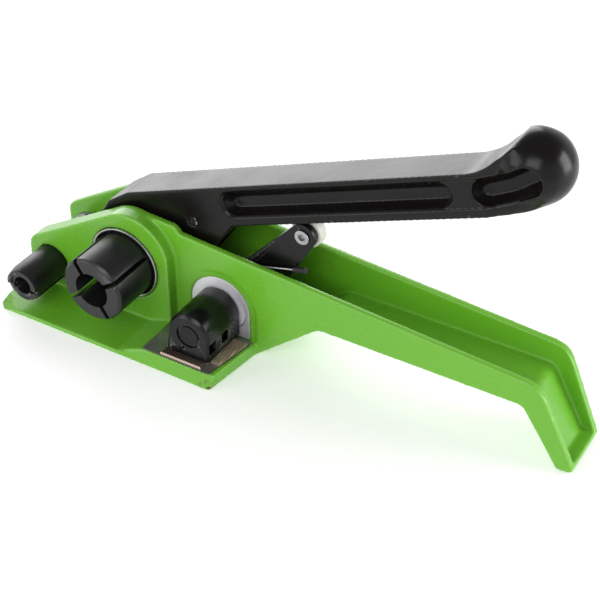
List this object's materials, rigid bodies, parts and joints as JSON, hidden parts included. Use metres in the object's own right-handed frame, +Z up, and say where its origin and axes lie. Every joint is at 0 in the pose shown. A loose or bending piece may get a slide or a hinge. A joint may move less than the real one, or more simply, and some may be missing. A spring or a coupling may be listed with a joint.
{
  "type": "strapping tensioner",
  "caption": "Hand-held windlass tensioner for packing strap: long lever handle over a channel frame with a slotted drum, ratchet, eccentric gripper jaw and cutter.",
  "frame": {"origin": "on the windlass axis, in the front face of the frame's raised boss, 30.5 mm above the foot's base", "axes": "+X along the tool from the cutter to the hook, +Y from the open side with the drum towards the far wall, +Z up from the foot"},
  "size_m": [0.2796, 0.0708, 0.1439],
  "materials": {
    "green_paint": "glossy sprayed enamel, edges worn lighter",
    "black_paint": "glossy black enamel over a casting",
    "black_steel": "satin black oxide steel",
    "zinc_steel": "bright zinc plate",
    "guide_steel": "ground and blued steel",
    "tooth_steel": "hardened, sharp teeth, unplated",
    "spring_steel": "drawn wire",
    "bronze": "sintered bronze, oiled",
    "nylon": "off-white moulded nylon",
    "rubber_cap": "soft black sleeve"
  },
  "bodies": {
    "frame": {"frame": "green_paint", "guide_plate": "guide_steel", "serrated_plate": "tooth_steel", "plate_screws": "black_steel", "arch_plate": "zinc_steel", "windlass_ring": "zinc_steel", "windlass_far_bush": "bronze", "gripper_bushes": "bronze", "holding_pawl_pin": "zinc_steel", "cutter_sleeve": "black_steel", "cutter_sleeve_screw": "black_steel"},
    "windlass": {"windlass": "black_steel", "ratchet_wheel": "tooth_steel", "ratchet_key": "zinc_steel", "windlass_washers": "zinc_steel", "windlass_circlip": "black_steel"},
    "handle": {"handle": "black_paint", "handle_bushes": "bronze", "drive_pawl_pin": "zinc_steel"},
    "drive_pawl": {"drive_pawl": "tooth_steel", "drive_pawl_spring": "spring_steel"},
    "holding_pawl": {"holding_pawl": "tooth_steel", "holding_pawl_spring": "spring_steel"},
    "gripper": {"gripper_shaft": "black_steel", "roller_lever": "black_steel", "lever_roll_pin": "spring_steel", "gripper_circlip": "black_steel", "roller_rivet": "zinc_steel", "lever_spring": "spring_steel", "lever_spring_cap": "rubber_cap"},
    "roller": {"roller": "nylon"},
    "jaw": {"gripper_jaw": "black_steel", "jaw_insert": "tooth_steel", "jaw_insert_pin": "spring_steel", "jaw_retaining_ring": "black_steel"},
    "cutter": {"cutter_shaft": "black_steel", "cutter_lever": "black_steel", "cutter_roll_pin": "spring_steel", "cutter_circlip": "black_steel", "cutter_spring": "spring_steel"}
  },
  "joints": [
    {"name": "windlass_spin", "type": "hinge", "parent": "frame", "child": "windlass", "pos_m": [0, 0, 0], "axis": [0, 1, 0], "continuous": true},
    {"name": "handle_swing", "type": "hinge", "parent": "frame", "child": "handle", "pos_m": [0, 0, 0], "axis": [0, -1, 0], "range_deg": [0, 105]},
    {"name": "drive_pawl_lift", "type": "hinge", "parent": "handle", "child": "drive_pawl", "pos_m": [0.03102, 0, 0.02655], "axis": [0, -1, 0], "range_deg": [0, 8], "stiffness_Nm_per_rad": 0.4, "springref_deg": -17.19, "deforming": ["drive_pawl_spring"]},
    {"name": "holding_pawl_lift", "type": "hinge", "parent": "frame", "child": "holding_pawl", "pos_m": [0.02621, 0, -0.01521], "axis": [0, -1, 0], "range_deg": [0, 10], "stiffness_Nm_per_rad": 0.4, "springref_deg": -17.19, "deforming": ["holding_pawl_spring"]},
    {"name": "lever_press", "type": "hinge", "parent": "frame", "child": "gripper", "pos_m": [0.0509, 0, -0.011], "axis": [0, 1, 0], "range_deg": [0, 18], "stiffness_Nm_per_rad": 1.5, "springref_deg": -28.65, "deforming": ["lever_spring"]},
    {"name": "roller_spin", "type": "hinge", "parent": "gripper", "child": "roller", "pos_m": [0.08584, 0, 0.03647], "axis": [0, 1, 0], "continuous": true},
    {"name": "jaw_rock", "type": "hinge", "parent": "gripper", "child": "jaw", "pos_m": [0.0469, 0, -0.011], "axis": [0, 1, 0], "range_deg": [-18, 0]},
    {"name": "cutter_turn", "type": "hinge", "parent": "frame", "child": "cutter", "pos_m": [-0.0435, 0, -0.0152], "axis": [0, 1, 0], "range_deg": [0, 20], "stiffness_Nm_per_rad": 0.8, "springref_deg": -22.92, "deforming": ["cutter_spring"]}
  ],
  "couplings": [
    {"joint": "jaw_rock", "follows": "lever_press", "ratio": -1}
  ]
}
